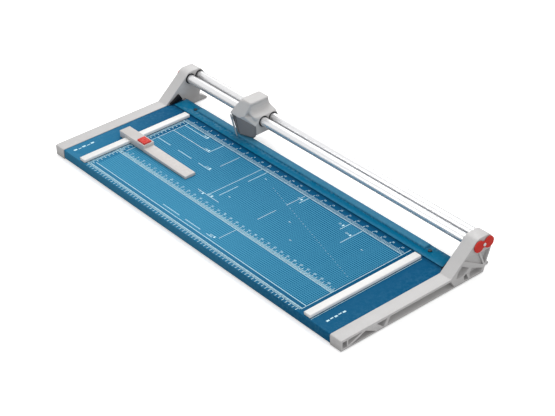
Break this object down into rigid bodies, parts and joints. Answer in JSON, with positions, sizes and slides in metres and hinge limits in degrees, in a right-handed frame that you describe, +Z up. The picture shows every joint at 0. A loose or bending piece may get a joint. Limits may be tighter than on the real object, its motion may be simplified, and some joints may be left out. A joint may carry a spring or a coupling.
{
  "type": "rotary paper trimmer",
  "caption": "Long rotary paper trimmer: printed blue table between grey end frames, a cutting head sliding on two round rails, a clear clamp strip and a sliding backstop.",
  "frame": {"origin": "centre of the bounding box's underside, on the plane the feet stand on", "axes": "+X along the rails from the backstop's end to the other, +Y from the operator's edge to the rails, +Z up"},
  "size_m": [0.9456, 0.3906, 0.112],
  "materials": {
    "frame_grey": "light warm grey powder coat on die castings",
    "table_blue": "satin blue coat with a pale printed grid, rules and format marks",
    "ground_steel": "ground tool steel",
    "zinc_steel": "zinc plated steel",
    "rail_chrome": "hard chrome on drawn tube",
    "stop_white": "satin white moulding",
    "backstop_grey": "satin pale grey moulding",
    "signal_red": "satin red moulding",
    "clear_blue": "clear polycarbonate over the blue table",
    "head_grey": "fine grained grey moulding",
    "cover_grey": "fine grained dark grey moulding",
    "black_plastic": "black acetal",
    "rubber": "black rubber"
  },
  "bodies": {
    "base": {"left_end_frame": "frame_grey", "left_end_cap": "signal_red", "left_cap_screw": "zinc_steel", "left_clamp_guide": "black_plastic", "left_clamp_post": "zinc_steel", "left_clamp_spring": "zinc_steel", "left_beam_screw": "zinc_steel", "left_stop_bar": "stop_white", "left_front_rail_bush": "black_plastic", "left_rear_rail_bush": "black_plastic", "left_front_foot": "rubber", "left_rear_foot": "rubber", "left_front_table_screw": "zinc_steel", "left_rear_table_screw": "zinc_steel", "left_front_stop_screw": "zinc_steel", "left_rear_stop_screw": "zinc_steel", "right_end_frame": "frame_grey", "right_end_cap": "signal_red", "right_cap_screw": "zinc_steel", "right_clamp_guide": "black_plastic", "right_clamp_post": "zinc_steel", "right_clamp_spring": "zinc_steel", "right_beam_screw": "zinc_steel", "right_stop_bar": "stop_white", "right_front_rail_bush": "black_plastic", "right_rear_rail_bush": "black_plastic", "right_front_foot": "rubber", "right_rear_foot": "rubber", "right_front_table_screw": "zinc_steel", "right_rear_table_screw": "zinc_steel", "right_front_stop_screw": "zinc_steel", "right_rear_stop_screw": "zinc_steel", "front_rail": "rail_chrome", "rear_rail": "rail_chrome", "table_sheet": "table_blue", "lower_knife": "ground_steel", "rear_beam": "zinc_steel", "knife_screw_1": "zinc_steel", "knife_screw_2": "zinc_steel"},
    "clamp": {"clamp_strip": "clear_blue"},
    "backstop": {"backstop": "backstop_grey", "button_spring": "zinc_steel"},
    "lock_shoe": {"lock_shoe": "black_plastic"},
    "button": {"backstop_button": "signal_red"},
    "head": {"head_housing": "head_grey", "blade_cover": "cover_grey", "blade_guard": "zinc_steel", "head_left_front_bush": "black_plastic", "head_left_rear_bush": "black_plastic", "head_right_front_bush": "black_plastic", "head_right_rear_bush": "black_plastic", "blade_axle": "zinc_steel", "spring_washer": "zinc_steel", "press_roller_pin": "zinc_steel", "cover_screw": "zinc_steel"},
    "blade": {"rotary_blade": "ground_steel", "blade_hub": "zinc_steel", "blade_retainer": "zinc_steel"},
    "roller": {"press_roller": "rubber"}
  },
  "joints": [
    {"name": "head_slide", "type": "slide", "parent": "base", "child": "head", "axis": [1, 0, 0], "range_m": [-0.19, 0.606]},
    {"name": "blade_spin", "type": "hinge", "parent": "head", "child": "blade", "pos_m": [-0.208, 0.13555, 0.0484], "axis": [0, 1, 0], "continuous": true},
    {"name": "press_roller_spin", "type": "hinge", "parent": "head", "child": "roller", "pos_m": [-0.209, 0.1253, 0.0383], "axis": [0, 1, 0], "continuous": true},
    {"name": "clamp_press", "type": "slide", "parent": "base", "child": "clamp", "axis": [0, 0, 1], "range_m": [-0.001, 0], "stiffness_N_per_m": 900, "springref_m": 0.004, "deforming": ["left_clamp_spring", "right_clamp_spring"]},
    {"name": "backstop_slide", "type": "slide", "parent": "base", "child": "backstop", "axis": [0, 1, 0], "range_m": [-0.118, 0.133]},
    {"name": "button_press", "type": "slide", "parent": "backstop", "child": "button", "axis": [0, 0, 1], "range_m": [-0.0025, 0], "stiffness_N_per_m": 400, "springref_m": 0.002, "deforming": ["button_spring"]},
    {"name": "lock_release", "type": "slide", "parent": "backstop", "child": "lock_shoe", "axis": [1, 0, 0], "range_m": [0, 0.0005]}
  ],
  "couplings": [
    {"joint": "blade_spin", "follows": "head_slide", "rad_per_m": 35.714},
    {"joint": "press_roller_spin", "follows": "head_slide", "rad_per_m": 166.67},
    {"joint": "lock_release", "follows": "button_press", "ratio": -0.2}
  ]
}
